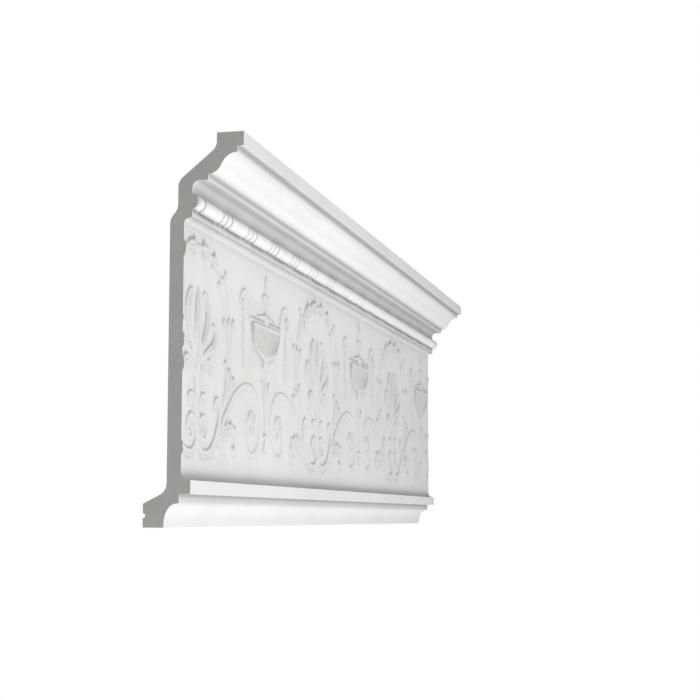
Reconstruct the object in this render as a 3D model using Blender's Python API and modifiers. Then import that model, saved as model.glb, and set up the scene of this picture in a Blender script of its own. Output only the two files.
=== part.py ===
"""Length of cast cornice moulding with a carved frieze, sawn square at both ends.

The moulding runs along X. Its back lies on the wall plane Y = 0 and its front faces -Y. The origin is
halfway along, on the lower land of the wall seat. Sizes are metres.
"""
import math

import bpy
import bmesh

# The length and the repeat of the carving
LENGTH = 1.100
HEIGHT = 0.320
REPEAT = 0.400
FIRST_WREATH = 0.037  # from the -X end to the axis of the first wreath

# How far each member stands out from the wall
FOOT_OUT = 0.0175
LOWER_FILLET_OUT = 0.0302
PLINTH_OUT = 0.0398
FRIEZE_OUT = 0.0318
COLLAR_OUT = 0.0386
THREAD_OUT = 0.0448
SCOTIA_OUT = 0.0384
CROWN_FILLET_OUT = 0.0519
CYMA_OUT = 0.0764
FASCIA_OUT = 0.0818

# How high each member is; the frieze takes what is left of HEIGHT
CAVETTO_HEIGHT = 0.0194
LOWER_FILLET_HEIGHT = 0.0075
PLINTH_HEIGHT = 0.0111
FOOT_COVE_HEIGHT = 0.0073
HEAD_COVE_HEIGHT = 0.0059
COLLAR_HEIGHT = 0.0057
THREAD_ROUND_HEIGHT = 0.0061
THREAD_FACE_HEIGHT = 0.0035
THREAD_WEATHER_HEIGHT = 0.0039
SCOTIA_FACE_HEIGHT = 0.0045
SCOTIA_ROUND_HEIGHT = 0.0062
CROWN_FILLET_HEIGHT = 0.0048
CYMA_HEIGHT = 0.0170
TOP_FILLET_HEIGHT = 0.0052
FASCIA_HEIGHT = 0.0118

# The cyma turns over at this share of its depth and height, this much steeper than it is as a whole
CYMA_TURN = 0.46
CYMA_STEEPNESS = 3.0

# The back: a hollow behind a wall of even thickness, between two seats
WALL = 0.0120
SEAT_HEIGHT = 0.0191
CEILING_SEAT_DEPTH = 0.0229
HOLLOW_FOOT_RISE = 0.0100
HOLLOW_HEAD_DROP = 0.0120
HOLLOW_ROUND = 0.0110
GLUE_GROOVE_RADIUS = 0.00205
GLUE_GROOVE_UP = 0.0096

# The strand of beads on the thread
BEAD_PERIOD = 0.0741
BEAD_RADIUS = 0.0064
BALL_LENGTH = 0.0110
STRAND_NECK = 0.0014  # length of the thin neck between two beads
STRAND_BACK = 0.0040  # how far its axis lies behind the thread's face
STRAND_DROP = 0.0002  # how far its axis lies below the top of the thread's round
STRAND_SIDES = 8

# The carving is drawn on a grid of squares over one repeat and the flat of the frieze
GRID_ACROSS = 400
GRID_UP = 200
RELIEF = 0.0027  # how far the widest form stands out
RELIEF_WIDTH = 8  # half width, in squares, of the form that stands out by RELIEF
SINK = 0.00025  # how far each form is let into the frieze
PATH_STEPS = 6
PATH_TOLERANCE = 1.2  # squares that a form may stray from its smooth path
HUSK_LIP_FROM = 10  # half width, in squares, of the smallest husk mouth that has curled lips

SAW_ALLOWANCE = 0.006  # run past each end, sawn off
ROUND_STEPS = 4
MERGE = 0.00001
SHARP_ANGLE = math.radians(24)

FRIEZE_FOOT = CAVETTO_HEIGHT + LOWER_FILLET_HEIGHT + PLINTH_HEIGHT + FOOT_COVE_HEIGHT
THREAD_HEIGHT = THREAD_ROUND_HEIGHT + THREAD_FACE_HEIGHT + THREAD_WEATHER_HEIGHT
SCOTIA_HEIGHT = SCOTIA_FACE_HEIGHT + SCOTIA_ROUND_HEIGHT
CROWN_HEIGHT = CROWN_FILLET_HEIGHT + CYMA_HEIGHT + TOP_FILLET_HEIGHT + FASCIA_HEIGHT
FRIEZE_HEAD = HEIGHT - CROWN_HEIGHT - SCOTIA_HEIGHT - THREAD_HEIGHT - COLLAR_HEIGHT - HEAD_COVE_HEIGHT
THREAD_FOOT = FRIEZE_HEAD + HEAD_COVE_HEIGHT + COLLAR_HEIGHT
LAND = GLUE_GROOVE_UP - GLUE_GROOVE_RADIUS
ORIGIN_UP = LAND / 2  # the origin's height above the underside


def clear_scene():
    for old in list(bpy.data.objects):
        bpy.data.objects.remove(old, do_unlink=True)


def new_collection(name):
    collection = bpy.data.collections.new(name)
    bpy.context.scene.collection.children.link(collection)
    return collection


def primer_white():
    material = bpy.data.materials.new("primed_polyurethane")
    material.use_nodes = True
    shader = material.node_tree.nodes["Principled BSDF"]
    shader.inputs["Base Color"].default_value = (0.80, 0.80, 0.79, 1.0)
    shader.inputs["Roughness"].default_value = 0.62
    shader.inputs["Metallic"].default_value = 0.0
    return material


def as_mesh(source, collection):
    """Replace a curve or modified object by a welded mesh object in the same place."""
    evaluated = source.evaluated_get(bpy.context.evaluated_depsgraph_get())
    mesh = bpy.data.meshes.new_from_object(evaluated)
    solid = bmesh.new()
    solid.from_mesh(mesh)
    bmesh.ops.remove_doubles(solid, verts=solid.verts, dist=MERGE)
    bmesh.ops.recalc_face_normals(solid, faces=solid.faces)
    solid.to_mesh(mesh)
    solid.free()
    result = bpy.data.objects.new(source.name + "_mesh", mesh)
    result.matrix_world = source.matrix_world.copy()
    collection.objects.link(result)
    bpy.data.objects.remove(source, do_unlink=True)
    return result


def boolean(target, other, operation, use_self=False):
    """Apply a Boolean to the target for good, and drop the other solid."""
    modifier = target.modifiers.new(operation.lower(), "BOOLEAN")
    modifier.operation = operation
    modifier.solver = "EXACT"
    modifier.use_self = use_self
    modifier.object = other
    evaluated = target.evaluated_get(bpy.context.evaluated_depsgraph_get())
    mesh = bpy.data.meshes.new_from_object(evaluated)
    target.modifiers.remove(modifier)
    target.data = mesh
    bpy.data.objects.remove(other, do_unlink=True)


# The moulding's profile, as points (out from the wall, up from the underside)


def quarter(start, end, leaves, power=1.0):
    """A quarter of an ellipse that leaves its start going 'out' or 'up'."""
    points = []
    for step in range(1, ROUND_STEPS + 1):
        turn = math.pi / 2 * step / ROUND_STEPS
        along = math.sin(turn) ** power
        across = 1 - math.cos(turn) ** power if step < ROUND_STEPS else 1.0
        if leaves == "out":
            share_out, share_up = along, across
        else:
            share_out, share_up = across, along
        points.append((start[0] + (end[0] - start[0]) * share_out, start[1] + (end[1] - start[1]) * share_up))
    return points


def bend(first, corner, last):
    """A curve that leaves first heading for the corner and reaches last from there."""
    points = []
    for step in range(ROUND_STEPS + 1):
        share = step / ROUND_STEPS
        ends = (1 - share) ** 2, 2 * share * (1 - share), share**2
        points.append(
            (
                ends[0] * first[0] + ends[1] * corner[0] + ends[2] * last[0],
                ends[0] * first[1] + ends[1] * corner[1] + ends[2] * last[1],
            )
        )
    return points


def rounded(before, corner, after, radius):
    """The corner of an outline as an arc that touches both of its sides."""
    to_before = (before[0] - corner[0], before[1] - corner[1])
    to_after = (after[0] - corner[0], after[1] - corner[1])
    reach_before = math.hypot(*to_before)
    reach_after = math.hypot(*to_after)
    to_before = (to_before[0] / reach_before, to_before[1] / reach_before)
    to_after = (to_after[0] / reach_after, to_after[1] / reach_after)
    opening = math.acos(to_before[0] * to_after[0] + to_before[1] * to_after[1])
    setback = min(radius / math.tan(opening / 2), 0.4 * reach_before, 0.4 * reach_after)
    first = (corner[0] + to_before[0] * setback, corner[1] + to_before[1] * setback)
    last = (corner[0] + to_after[0] * setback, corner[1] + to_after[1] * setback)
    return bend(first, corner, last)


def lower_members():
    """Cavetto, fillet, plinth and the cove at the frieze's foot."""
    points = [(FOOT_OUT, 0.0)]
    points += quarter(points[-1], (LOWER_FILLET_OUT, CAVETTO_HEIGHT), "up", 0.85)
    up = CAVETTO_HEIGHT + LOWER_FILLET_HEIGHT
    points += [(LOWER_FILLET_OUT, up), (PLINTH_OUT, up)]
    up += PLINTH_HEIGHT
    points.append((PLINTH_OUT, up))
    points += quarter(points[-1], (FRIEZE_OUT, FRIEZE_FOOT), "out")
    return points


def thread_members():
    """The cove at the frieze's head, its collar and the thread that the beads are strung along."""
    points = [(FRIEZE_OUT, FRIEZE_HEAD)]
    points += quarter(points[-1], (COLLAR_OUT, FRIEZE_HEAD + HEAD_COVE_HEIGHT), "up")
    points.append((COLLAR_OUT, THREAD_FOOT))
    points += quarter(points[-1], (THREAD_OUT, THREAD_FOOT + THREAD_ROUND_HEIGHT), "out")
    points.append((THREAD_OUT, THREAD_FOOT + THREAD_ROUND_HEIGHT + THREAD_FACE_HEIGHT))
    points.append((SCOTIA_OUT, THREAD_FOOT + THREAD_HEIGHT))
    return points


def crown_members():
    """The scotia's round, the crown's fillet, the cyma, the upper fillet and the fascia."""
    up = THREAD_FOOT + THREAD_HEIGHT + SCOTIA_FACE_HEIGHT
    points = [(SCOTIA_OUT, up)]
    up += SCOTIA_ROUND_HEIGHT
    points += quarter(points[-1], (SCOTIA_OUT + SCOTIA_ROUND_HEIGHT, up), "up")
    points.append((CROWN_FILLET_OUT, up))
    up += CROWN_FILLET_HEIGHT
    points.append((CROWN_FILLET_OUT, up))
    depth = CYMA_OUT - CROWN_FILLET_OUT
    turn = (CROWN_FILLET_OUT + CYMA_TURN * depth, up + CYMA_TURN * CYMA_HEIGHT)
    points += bend(points[-1], (turn[0] - CYMA_TURN / CYMA_STEEPNESS * depth, up), turn)[1:]
    up += CYMA_HEIGHT
    points += bend(turn, (turn[0] + (1 - CYMA_TURN) / CYMA_STEEPNESS * depth, up), (CYMA_OUT, up))[1:]
    up += TOP_FILLET_HEIGHT
    points += [(CYMA_OUT, up), (FASCIA_OUT, up), (FASCIA_OUT, HEIGHT)]
    return points


def hollow_back():
    """The hollow behind the face, from the ceiling seat down to the wall seat."""
    seat_edge = FASCIA_OUT - CEILING_SEAT_DEPTH
    frieze_back = FRIEZE_OUT - WALL
    scotia_back = SCOTIA_OUT - WALL
    crown_foot = THREAD_FOOT + THREAD_HEIGHT + SCOTIA_HEIGHT
    corners = [
        (seat_edge, HEIGHT),
        (seat_edge, HEIGHT - HOLLOW_HEAD_DROP),
        (scotia_back, crown_foot),
        (scotia_back, THREAD_FOOT + 0.001),
        (frieze_back, FRIEZE_HEAD + HEAD_COVE_HEIGHT - 0.001),
        (frieze_back, SEAT_HEIGHT + HOLLOW_FOOT_RISE),
        (0.0, SEAT_HEIGHT),
    ]
    points = [corners[0]]
    for before, corner, after in zip(corners, corners[1:], corners[2:]):
        points += rounded(before, corner, after, HOLLOW_ROUND)
    points.append(corners[-1])
    return points


def wall_seat():
    """The seat that is glued to the wall, down to the underside, with its glue groove."""
    points = []
    for step in range(2 * ROUND_STEPS + 1):
        turn = math.pi * step / (2 * ROUND_STEPS)
        up = GLUE_GROOVE_UP + GLUE_GROOVE_RADIUS * math.cos(turn)
        points.append((GLUE_GROOVE_RADIUS * math.sin(turn), up))
    points.append((0.0, 0.0))
    return points


def build_body(collection):
    outline = lower_members() + thread_members() + crown_members() + hollow_back() + wall_seat()
    curve = bpy.data.curves.new("profile", "CURVE")
    curve.dimensions = "2D"
    curve.fill_mode = "BOTH"
    curve.extrude = LENGTH / 2 + SAW_ALLOWANCE
    spline = curve.splines.new("POLY")
    spline.points.add(len(outline) - 1)
    for point, (out, up) in zip(spline.points, outline):
        point.co = (out, up - ORIGIN_UP, 0.0, 1.0)
    spline.use_cyclic_u = True
    body = bpy.data.objects.new("cornice_length", curve)
    body.rotation_euler = (math.pi / 2, 0.0, -math.pi / 2)
    collection.objects.link(body)
    bpy.context.view_layer.update()
    return as_mesh(body, collection)


# The strand of beads: two balls, then a long bead


def bead(start, length, shoulder):
    """The outline of one turned bead between its necks, as points (along, radius)."""
    rise = 0.75 * BEAD_RADIUS
    full = start + shoulder
    points = [(start + 0.25 * shoulder, rise), (full, BEAD_RADIUS)]
    if length > 2 * shoulder:
        points.append((start + length - shoulder, BEAD_RADIUS))
    return points + [(start + length - 0.25 * shoulder, rise)]


def strand_outline(first, last):
    """The strand from the middle of a pair of balls past the far end, as points (along, radius)."""
    long_bead = BEAD_PERIOD - 2 * BALL_LENGTH - 3 * STRAND_NECK
    neck = BEAD_RADIUS * 0.35
    shoulder = BALL_LENGTH / 2
    along = first - BALL_LENGTH - STRAND_NECK / 2
    points = []
    while along < last:
        for length in (BALL_LENGTH, BALL_LENGTH, long_bead):
            points += [(along - STRAND_NECK / 2, neck)] + bead(along, length, shoulder)
            along += length + STRAND_NECK
    return [(points[0][0], 0.0)] + points + [(points[-1][0], 0.0)]


def build_strand(collection):
    # The length is sawn off between the two balls of a pair
    outline = strand_outline(-LENGTH / 2 - STRAND_NECK / 2, LENGTH / 2 + SAW_ALLOWANCE)
    mesh = bpy.data.meshes.new("strand")
    # The profile runs from the far end back, so that the turned shape faces outwards
    verts = [(radius, 0.0, along) for along, radius in reversed(outline)]
    mesh.from_pydata(verts, [(i, i + 1) for i in range(len(verts) - 1)], [])
    strand = bpy.data.objects.new("strand", mesh)
    screw = strand.modifiers.new("turn", "SCREW")
    screw.steps = STRAND_SIDES
    screw.render_steps = STRAND_SIDES
    screw.use_merge_vertices = True
    screw.merge_threshold = MERGE
    strand.rotation_euler = (math.pi, math.pi / 2, 0.0)
    up = THREAD_FOOT + THREAD_ROUND_HEIGHT - STRAND_DROP
    strand.location = (0.0, STRAND_BACK - THREAD_OUT, up - ORIGIN_UP)
    collection.objects.link(strand)
    bpy.context.view_layer.update()
    return as_mesh(strand, collection)


# The carving, as tapering strokes: points (across, up, half width) in squares of the grid


def smooth(points):
    """A smooth path through the points of a stroke."""
    path = []
    last = len(points) - 1
    for index in range(last):
        before = points[max(index - 1, 0)]
        here = points[index]
        there = points[index + 1]
        after = points[min(index + 2, last)]
        for step in range(PATH_STEPS):
            t = step / PATH_STEPS
            path.append(
                tuple(
                    0.5 * (2 * b + (c - a) * t + (2 * a - 5 * b + 4 * c - d) * t**2 + (3 * b - a - 3 * c + d) * t**3)
                    for a, b, c, d in zip(before, here, there, after)
                )
            )
    path.append(points[-1])
    return path


def thinned(path):
    """Only those points of a smooth path that its shape needs."""
    first, last = path[0], path[-1]
    run = [b - a for a, b in zip(first, last)]
    length = math.sqrt(sum(step * step for step in run))
    worst, farthest = 0.0, 0
    for index in range(1, len(path) - 1):
        away = [b - a for a, b in zip(first, path[index])]
        share = sum(a * r for a, r in zip(away, run)) / length**2
        off = math.sqrt(sum((a - share * r) ** 2 for a, r in zip(away, run)))
        if off > worst:
            worst, farthest = off, index
    if worst <= PATH_TOLERANCE:
        return [first, last]
    return thinned(path[: farthest + 1])[:-1] + thinned(path[farthest:])


def mirrored(strokes):
    return strokes + [[(-across, up, half) for across, up, half in stroke] for stroke in strokes]


def plumes():
    """The three curling plumes on each side of the palmette."""
    upper = [(8, 98, 0), (16, 110, 4), (24, 122, 6), (27, 134, 6.5), (23, 145, 5), (16, 147, 3), (10, 143, 0)]
    middle = [(9, 92, 0), (20, 99, 3), (33, 105, 4), (44, 111, 5.5), (46, 119, 5.5), (42, 124, 3), (36, 122, 0)]
    lower = [(6, 80, 0), (13, 87, 3.5), (22, 92, 4), (31, 92, 4.5), (35, 86, 3), (30, 82, 0)]
    return [upper, middle, lower]


def stem_curls():
    """The hook and the volute on each side of the palmette's stem."""
    hook = [(3, 57, 2), (8, 63, 2.2), (16, 65, 2.2), (22, 61, 2.2), (19, 57, 0)]
    volute = [(4, 40, 2), (12, 44.5, 2.2), (21, 42, 2.2), (25, 34, 2.2), (20, 28, 2), (14, 31, 1.6), (18, 36, 0)]
    return [hook, volute]


def arm_and_leaf():
    """The arm that carries the wreath, rising from the stem's foot, and the leaf on its outer side."""
    arm = [(2, 26, 3), (9, 18, 3), (21, 15, 3.4), (35, 17, 4), (48, 26, 4.4), (57, 39, 4.4), (60, 52, 3.4)]
    arm += [(56, 62, 2.6), (48, 61, 2.4), (46, 53, 2), (51, 51, 0)]
    leaf = [(55, 33, 4), (70, 37, 6), (85, 40, 6), (98, 38, 5), (106, 30, 4), (104, 22, 2.6), (98, 21, 0)]
    return [arm, leaf]


def running_scroll():
    """The long scroll from the wreath to the volute beside the urn, and the rosette inside it."""
    scroll = [(64, 40, 3.4), (82, 56, 2.6), (100, 68, 2.4), (120, 77, 2.2), (140, 82, 2.2), (156, 81, 2.2)]
    scroll += [(173, 72, 2.2), (182, 56, 2.2), (181, 38, 2.2), (171, 25, 2.2), (157, 20, 2.2), (144, 27, 2)]
    scroll += [(141, 42, 1.8), (145, 54, 0)]
    strokes = [scroll]
    for petal in range(4):
        turn = math.radians(45 + 90 * petal)
        toward = math.cos(turn), math.sin(turn)
        reach = [(2, 1.5), (9, 5.5), (14, 1)]
        strokes.append([(155 + far * toward[0], 46.5 + far * toward[1], half) for far, half in reach])
    return strokes


def wreath_husks():
    """The husks strung along the wreath, from the arm up to its crown, each smaller than the last."""
    centre = (0, 103)
    radius = 87
    strokes = []

    def on_ring(turn, off, half):
        reach = radius + off
        return (centre[0] + reach * math.cos(turn), centre[1] + reach * math.sin(turn), half)

    start = -38
    for span, mouth in ((32, 14), (26, 14), (20, 12), (15, 9), (12, 8)):
        root, belly, end = [math.radians(start + span * share) for share in (0, 0.7, 1)]
        strokes.append([on_ring(root, 0, 0), on_ring(belly, 0, 0.62 * mouth), on_ring(end, 0, 0.3 * mouth)])
        if mouth > HUSK_LIP_FROM:
            neck, brim, tip = [math.radians(start + span * share) for share in (0.62, 0.95, 0.84)]
            for side in (-1, 1):
                strokes.append([
                    on_ring(neck, side * 0.35 * mouth, 0),
                    on_ring(brim, side * 0.95 * mouth, 2.4),
                    on_ring(tip, side * 1.35 * mouth, 0),
                ])
        start += span * 1.09
    return strokes


def wreath():
    """One wreath with the palmette that it frames, about its own axis."""
    petal = [(3.5, 95, 0), (4.2, 109, 3.2), (4.4, 130, 4.4), (2.4, 146, 2.6), (0.6, 153, 0)]
    stem = [(0, 14, 0), (0, 30, 5), (0, 52, 4.6), (0, 69, 3), (0, 82, 7), (0, 98, 0)]
    crown_beads = [[(at - 3, 189.5, 0), (at, 189.5, 3), (at + 3, 189.5, 0)] for at in (-6.5, 0, 6.5)]
    sides = plumes() + stem_curls() + arm_and_leaf() + running_scroll() + wreath_husks() + [petal]
    return mirrored(sides) + crown_beads + [stem]


def bowl():
    """The urn's fluted bowl, as reeds that meet at its foot, under a rim and a low lid."""
    reeds = 11
    strokes = []
    for reed in range(reeds):
        place = 2 * reed / (reeds - 1) - 1
        strokes.append([(46 * place, 139.5, 4.5), (19 * place, 118 + 5 * place**2, 1.8)])
    rim = [(-52, 145, 1.5), (-40, 144, 3.8), (40, 144, 3.8), (52, 145, 1.5)]
    lid = [(-30, 149, 0), (0, 150, 3), (30, 149, 0)]
    return strokes + [rim, lid]


def urn_stand():
    """The leaf skirt under the bowl and the slender foot below it."""
    strokes = []
    for leaf in range(-1, 2):
        strokes.append([(2 * leaf, 117, 2), (6 * leaf, 108, 3.4), (10 * leaf, 100 + abs(leaf), 0)])
    shaft = [(0, 104, 2), (0, 88, 3), (0, 76, 4.4), (0, 60, 3.8), (0, 42, 2.6), (0, 37, 4.4), (0, 33, 2)]
    lip = [(2, 78, 2.6), (7, 86, 2.6), (13, 90.5, 0)]
    foot = [(1, 35, 2), (4, 27, 2), (7, 21, 0)]
    return strokes + [shaft] + mirrored([lip, foot])


def urn():
    """One urn with its two scrolled handles and the husk drops that hang from them."""
    finial = [(0, 151, 6), (0, 160, 3.4), (0, 170, 5.4), (0, 177, 3.4), (0, 184, 4.6), (0, 191, 0)]
    wing = [(3, 166, 2.4), (8, 171, 2.4), (12, 167, 0)]
    handle = [(50, 143, 3), (52, 154, 2.6), (58, 164, 2.4), (67, 167, 2.4), (77, 162, 2.4), (78, 154, 2), (73, 154, 0)]
    drop = [(73, 157, 1.6), (73, 148, 4.4), (72.5, 130, 4), (72, 115, 2), (72, 107, 3.6), (71.5, 93, 0)]
    return bowl() + urn_stand() + [finial] + mirrored([wing, handle, drop])


def build_carving(collection):
    """All strokes of the frieze as one set of flattened tubes, half sunk in its flat."""
    across_square = REPEAT / GRID_ACROSS
    up_square = (FRIEZE_HEAD - FRIEZE_FOOT) / GRID_UP
    half_square = min(across_square, up_square)
    reach = LENGTH / 2 + SAW_ALLOWANCE
    curve = bpy.data.curves.new("carving", "CURVE")
    curve.dimensions = "2D"
    curve.bevel_depth = 1.0
    curve.bevel_resolution = 0
    curve.use_fill_caps = True
    axis = FIRST_WREATH - LENGTH / 2 - REPEAT
    while axis < reach + REPEAT:
        for offset, motif in ((0.0, wreath()), (REPEAT / 2, urn())):
            for stroke in motif:
                centre = axis + offset
                path = [(centre + across * across_square, up, half) for across, up, half in thinned(smooth(stroke))]
                inside = [abs(along) < reach + 0.004 for along, up, half in path]
                if not any(inside):
                    continue
                spline = curve.splines.new("POLY")
                spline.points.add(len(path) - 1)
                for point, (along, up, half) in zip(spline.points, path):
                    point.co = (along, up * up_square, 0.0, 1.0)
                    point.radius = half * half_square
        axis += REPEAT
    carving = bpy.data.objects.new("carving", curve)
    carving.rotation_euler = (math.pi / 2, 0.0, 0.0)
    carving.location = (0.0, SINK - FRIEZE_OUT, FRIEZE_FOOT - ORIGIN_UP)
    collection.objects.link(carving)
    bpy.context.view_layer.update()
    solid = as_mesh(carving, collection)
    widest = RELIEF_WIDTH * half_square
    for vertex in solid.data.vertices:
        height = (RELIEF + SINK) * math.sqrt(abs(vertex.co.z) / widest)
        vertex.co.z = math.copysign(height, vertex.co.z)
    return solid


def saw_box(collection):
    """The space between the two saw cuts."""
    mesh = bpy.data.meshes.new("between_saw_cuts")
    box = bmesh.new()
    bmesh.ops.create_cube(box, size=1.0)
    size = (LENGTH, 4 * FASCIA_OUT, 3 * HEIGHT)
    bmesh.ops.scale(box, vec=size, verts=box.verts)
    box.to_mesh(mesh)
    box.free()
    cutter = bpy.data.objects.new("between_saw_cuts", mesh)
    cutter.hide_render = True
    cutter.display_type = "WIRE"
    collection.objects.link(cutter)
    return cutter


def main():
    clear_scene()
    parts = new_collection("cornice_moulding")
    cutters = new_collection("cutters")
    body = build_body(parts)
    boolean(body, build_strand(cutters), "UNION")
    boolean(body, build_carving(cutters), "UNION", use_self=True)
    boolean(body, saw_box(cutters), "INTERSECT")
    body.name = "cornice_length"
    body.data.name = "cornice_length"
    body.data.shade_smooth()
    body.data.set_sharp_from_angle(angle=SHARP_ANGLE)
    body.data.materials.clear()
    body.data.materials.append(primer_white())


main()
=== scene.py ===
"""Looks of the cornice moulding length: fine profile, turned beads, low carving and matt primer.

The piece is built in millimetres, as distances out from the wall and up from the underside, and
placed in the frame of the solid, whose origin lies on the wall seat halfway along.
"""
import math

import bmesh
import bpy
import numpy as np
from mathutils import Matrix, Vector


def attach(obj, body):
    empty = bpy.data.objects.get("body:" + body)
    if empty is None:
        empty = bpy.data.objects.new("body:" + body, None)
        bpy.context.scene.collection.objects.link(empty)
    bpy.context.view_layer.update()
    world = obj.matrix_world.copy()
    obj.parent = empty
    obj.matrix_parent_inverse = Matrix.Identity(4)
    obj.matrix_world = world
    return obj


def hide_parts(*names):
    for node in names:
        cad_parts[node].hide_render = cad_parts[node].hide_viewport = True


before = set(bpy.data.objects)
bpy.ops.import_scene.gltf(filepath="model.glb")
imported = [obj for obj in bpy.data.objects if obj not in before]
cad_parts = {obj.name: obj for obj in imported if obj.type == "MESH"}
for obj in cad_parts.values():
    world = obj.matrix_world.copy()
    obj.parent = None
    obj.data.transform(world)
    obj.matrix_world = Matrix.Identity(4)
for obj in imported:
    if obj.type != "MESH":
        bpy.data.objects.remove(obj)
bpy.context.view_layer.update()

MM = 0.001

# The length and the repeat of the carving
LENGTH = 1100.0
HALF = LENGTH / 2
HEIGHT = 320.0
REPEAT = 400.0
FIRST_WREATH = 37.0  # from the -X end to the axis of the first wreath
URN = REPEAT / 2  # from a wreath's axis to the urn's

# How far each member stands out from the wall
FOOT_OUT = 17.5
LOWER_FILLET_OUT = 30.2
PLINTH_OUT = 39.8
FRIEZE_OUT = 31.8
COLLAR_OUT = 38.6
THREAD_OUT = 44.8
SCOTIA_OUT = 38.4
CROWN_FILLET_OUT = 51.9
CYMA_OUT = 76.4
FASCIA_OUT = 81.8

# How high each member is; the frieze takes what is left of HEIGHT
CAVETTO_HEIGHT = 19.4
LOWER_FILLET_HEIGHT = 7.5
PLINTH_HEIGHT = 11.1
FOOT_COVE_HEIGHT = 7.3
HEAD_COVE_HEIGHT = 5.9
COLLAR_HEIGHT = 5.7
THREAD_ROUND_HEIGHT = 6.1
THREAD_FACE_HEIGHT = 3.5
THREAD_WEATHER_HEIGHT = 3.9
SCOTIA_FACE_HEIGHT = 4.5
SCOTIA_ROUND_HEIGHT = 6.2
CROWN_FILLET_HEIGHT = 4.8
CYMA_HEIGHT = 17.0
TOP_FILLET_HEIGHT = 5.2
FASCIA_HEIGHT = 11.8

# The fine quirk between the cove at the frieze's head and the collar
QUIRK_HEIGHT = 0.9
QUIRK_DEPTH = 0.9

# How the coves bend: 1 is a quarter of an ellipse, and less is hollower
CAVETTO_BEND = 0.85
HEAD_COVE_BEND = 0.8

# The cyma turns over at this share of its depth and height, this much steeper than it is as a whole
CYMA_TURN = 0.46
CYMA_STEEPNESS = 3.0

# The back
WALL = 12.0
SEAT_HEIGHT = 19.1
CEILING_SEAT_DEPTH = 22.9
HOLLOW_FOOT_RISE = 10.0
HOLLOW_HEAD_DROP = 12.0
HOLLOW_ROUND = 11.0
HOLLOW_STEPS = 6
HOLLOW_SHIFT = 1.0  # how far its two corners behind the collar lie above and below it
GLUE_GROOVE_RADIUS = 2.05
GLUE_GROOVE_UP = 9.6
GLUE_GROOVE_STEPS = 12

# The strand of beads
BEAD_PERIOD = 74.1
BEAD_RADIUS = 6.4
BALL_LENGTH = 11.0
LONG_BEAD_ROUND = 4.4  # length of a long bead's rounded end
STRAND_NECK = 1.4
STRAND_BACK = 4.0
STRAND_DROP = 0.2
NECK_SHARE = 0.35  # the neck's radius as a share of the bead's
BEAD_BEND = 0.9  # below 1, a bead's rounded ends are fuller than an ellipse
BEAD_POINTS = 7  # along one rounded end
GAP_DEPTH = 1.6  # how much deeper the thread lies between its beads

# The thread's sections are rows that fan out from behind the strand's axis, from a little below
# the thread to a little above it
FAN_BACK = 6.8
FAN_ROWS = 38
FAN_BELOW = 2.4
FAN_ABOVE = 1.0

# The carving: a grid this fine, reduced to so many triangles
PITCH = 0.8
CARVING_TRIANGLES = 112000
PATH_STEPS = 9
LEAST_HALF = 0.12  # half width down to which a stroke tapers
RELIEF = 2.2  # how far a plain form of half width RELIEF_WIDTH stands out
RELIEF_WIDTH = 8.0
STEEP = 0.9  # slope of the carving's sides at which the painted shade on them is darkest

QUARTER_STEPS = 10
ARRIS = 0.35
ARRIS_STEPS = 3
ARRIS_FROM = math.radians(22)  # sharper corners of the profile are eased
SHARP_ANGLE = math.radians(38)
NEAR = 0.05  # what lies this near an edge counts as on it

FRIEZE_FOOT = CAVETTO_HEIGHT + LOWER_FILLET_HEIGHT + PLINTH_HEIGHT + FOOT_COVE_HEIGHT
THREAD_HEIGHT = THREAD_ROUND_HEIGHT + THREAD_FACE_HEIGHT + THREAD_WEATHER_HEIGHT
SCOTIA_HEIGHT = SCOTIA_FACE_HEIGHT + SCOTIA_ROUND_HEIGHT
CROWN_HEIGHT = CROWN_FILLET_HEIGHT + CYMA_HEIGHT + TOP_FILLET_HEIGHT + FASCIA_HEIGHT
FRIEZE_HEAD = HEIGHT - CROWN_HEIGHT - SCOTIA_HEIGHT - THREAD_HEIGHT - COLLAR_HEIGHT - HEAD_COVE_HEIGHT
THREAD_FOOT = FRIEZE_HEAD + HEAD_COVE_HEIGHT + COLLAR_HEIGHT
ORIGIN_UP = (GLUE_GROOVE_UP - GLUE_GROOVE_RADIUS) / 2

# The slots of the piece's materials
PRIMER, SAWN, BACK = 0, 1, 2


# The carving as a field of heights over one repeat. A stroke is a list of (across, up, half width),
# in millimetres from the axis of its motif and from the frieze's foot.


def field_axes():
    """Where the field's columns lie, from the axis of a wreath, and its rows, from the frieze's foot."""
    columns = round(REPEAT / PITCH)
    across = (PITCH * np.arange(columns) - FIRST_WREATH + REPEAT / 2) % REPEAT - REPEAT / 2
    rows = round((FRIEZE_HEAD - FRIEZE_FOOT) / PITCH)
    return across, np.linspace(0.0, FRIEZE_HEAD - FRIEZE_FOOT, rows + 1)


ACROSS, UP = field_axes()
ROW_PITCH = UP[1] - UP[0]


def smooth(points):
    """A smooth path through the points of a stroke."""
    points = np.array(points, float)
    ends = np.vstack([points[:1], points, points[-1:]])
    path = []
    for before, here, there, after in zip(ends, ends[1:], ends[2:], ends[3:]):
        for t in np.arange(PATH_STEPS) / PATH_STEPS:
            bend = 2 * before - 5 * here + 4 * there - after
            twist = 3 * here - before - 3 * there + after
            path.append(0.5 * (2 * here + (there - before) * t + bend * t**2 + twist * t**3))
    path.append(points[-1])
    return np.array(path)


def windows(low, high):
    """The rows and columns of the field that lie between two corners, in each repeat that they reach."""
    rows = np.nonzero((UP >= low[1]) & (UP <= high[1]))[0]
    for shift in (-REPEAT, 0.0, REPEAT):
        columns = np.nonzero((ACROSS >= low[0] + shift) & (ACROSS <= high[0] + shift))[0]
        if len(columns) and len(rows):
            yield shift, rows, columns


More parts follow.
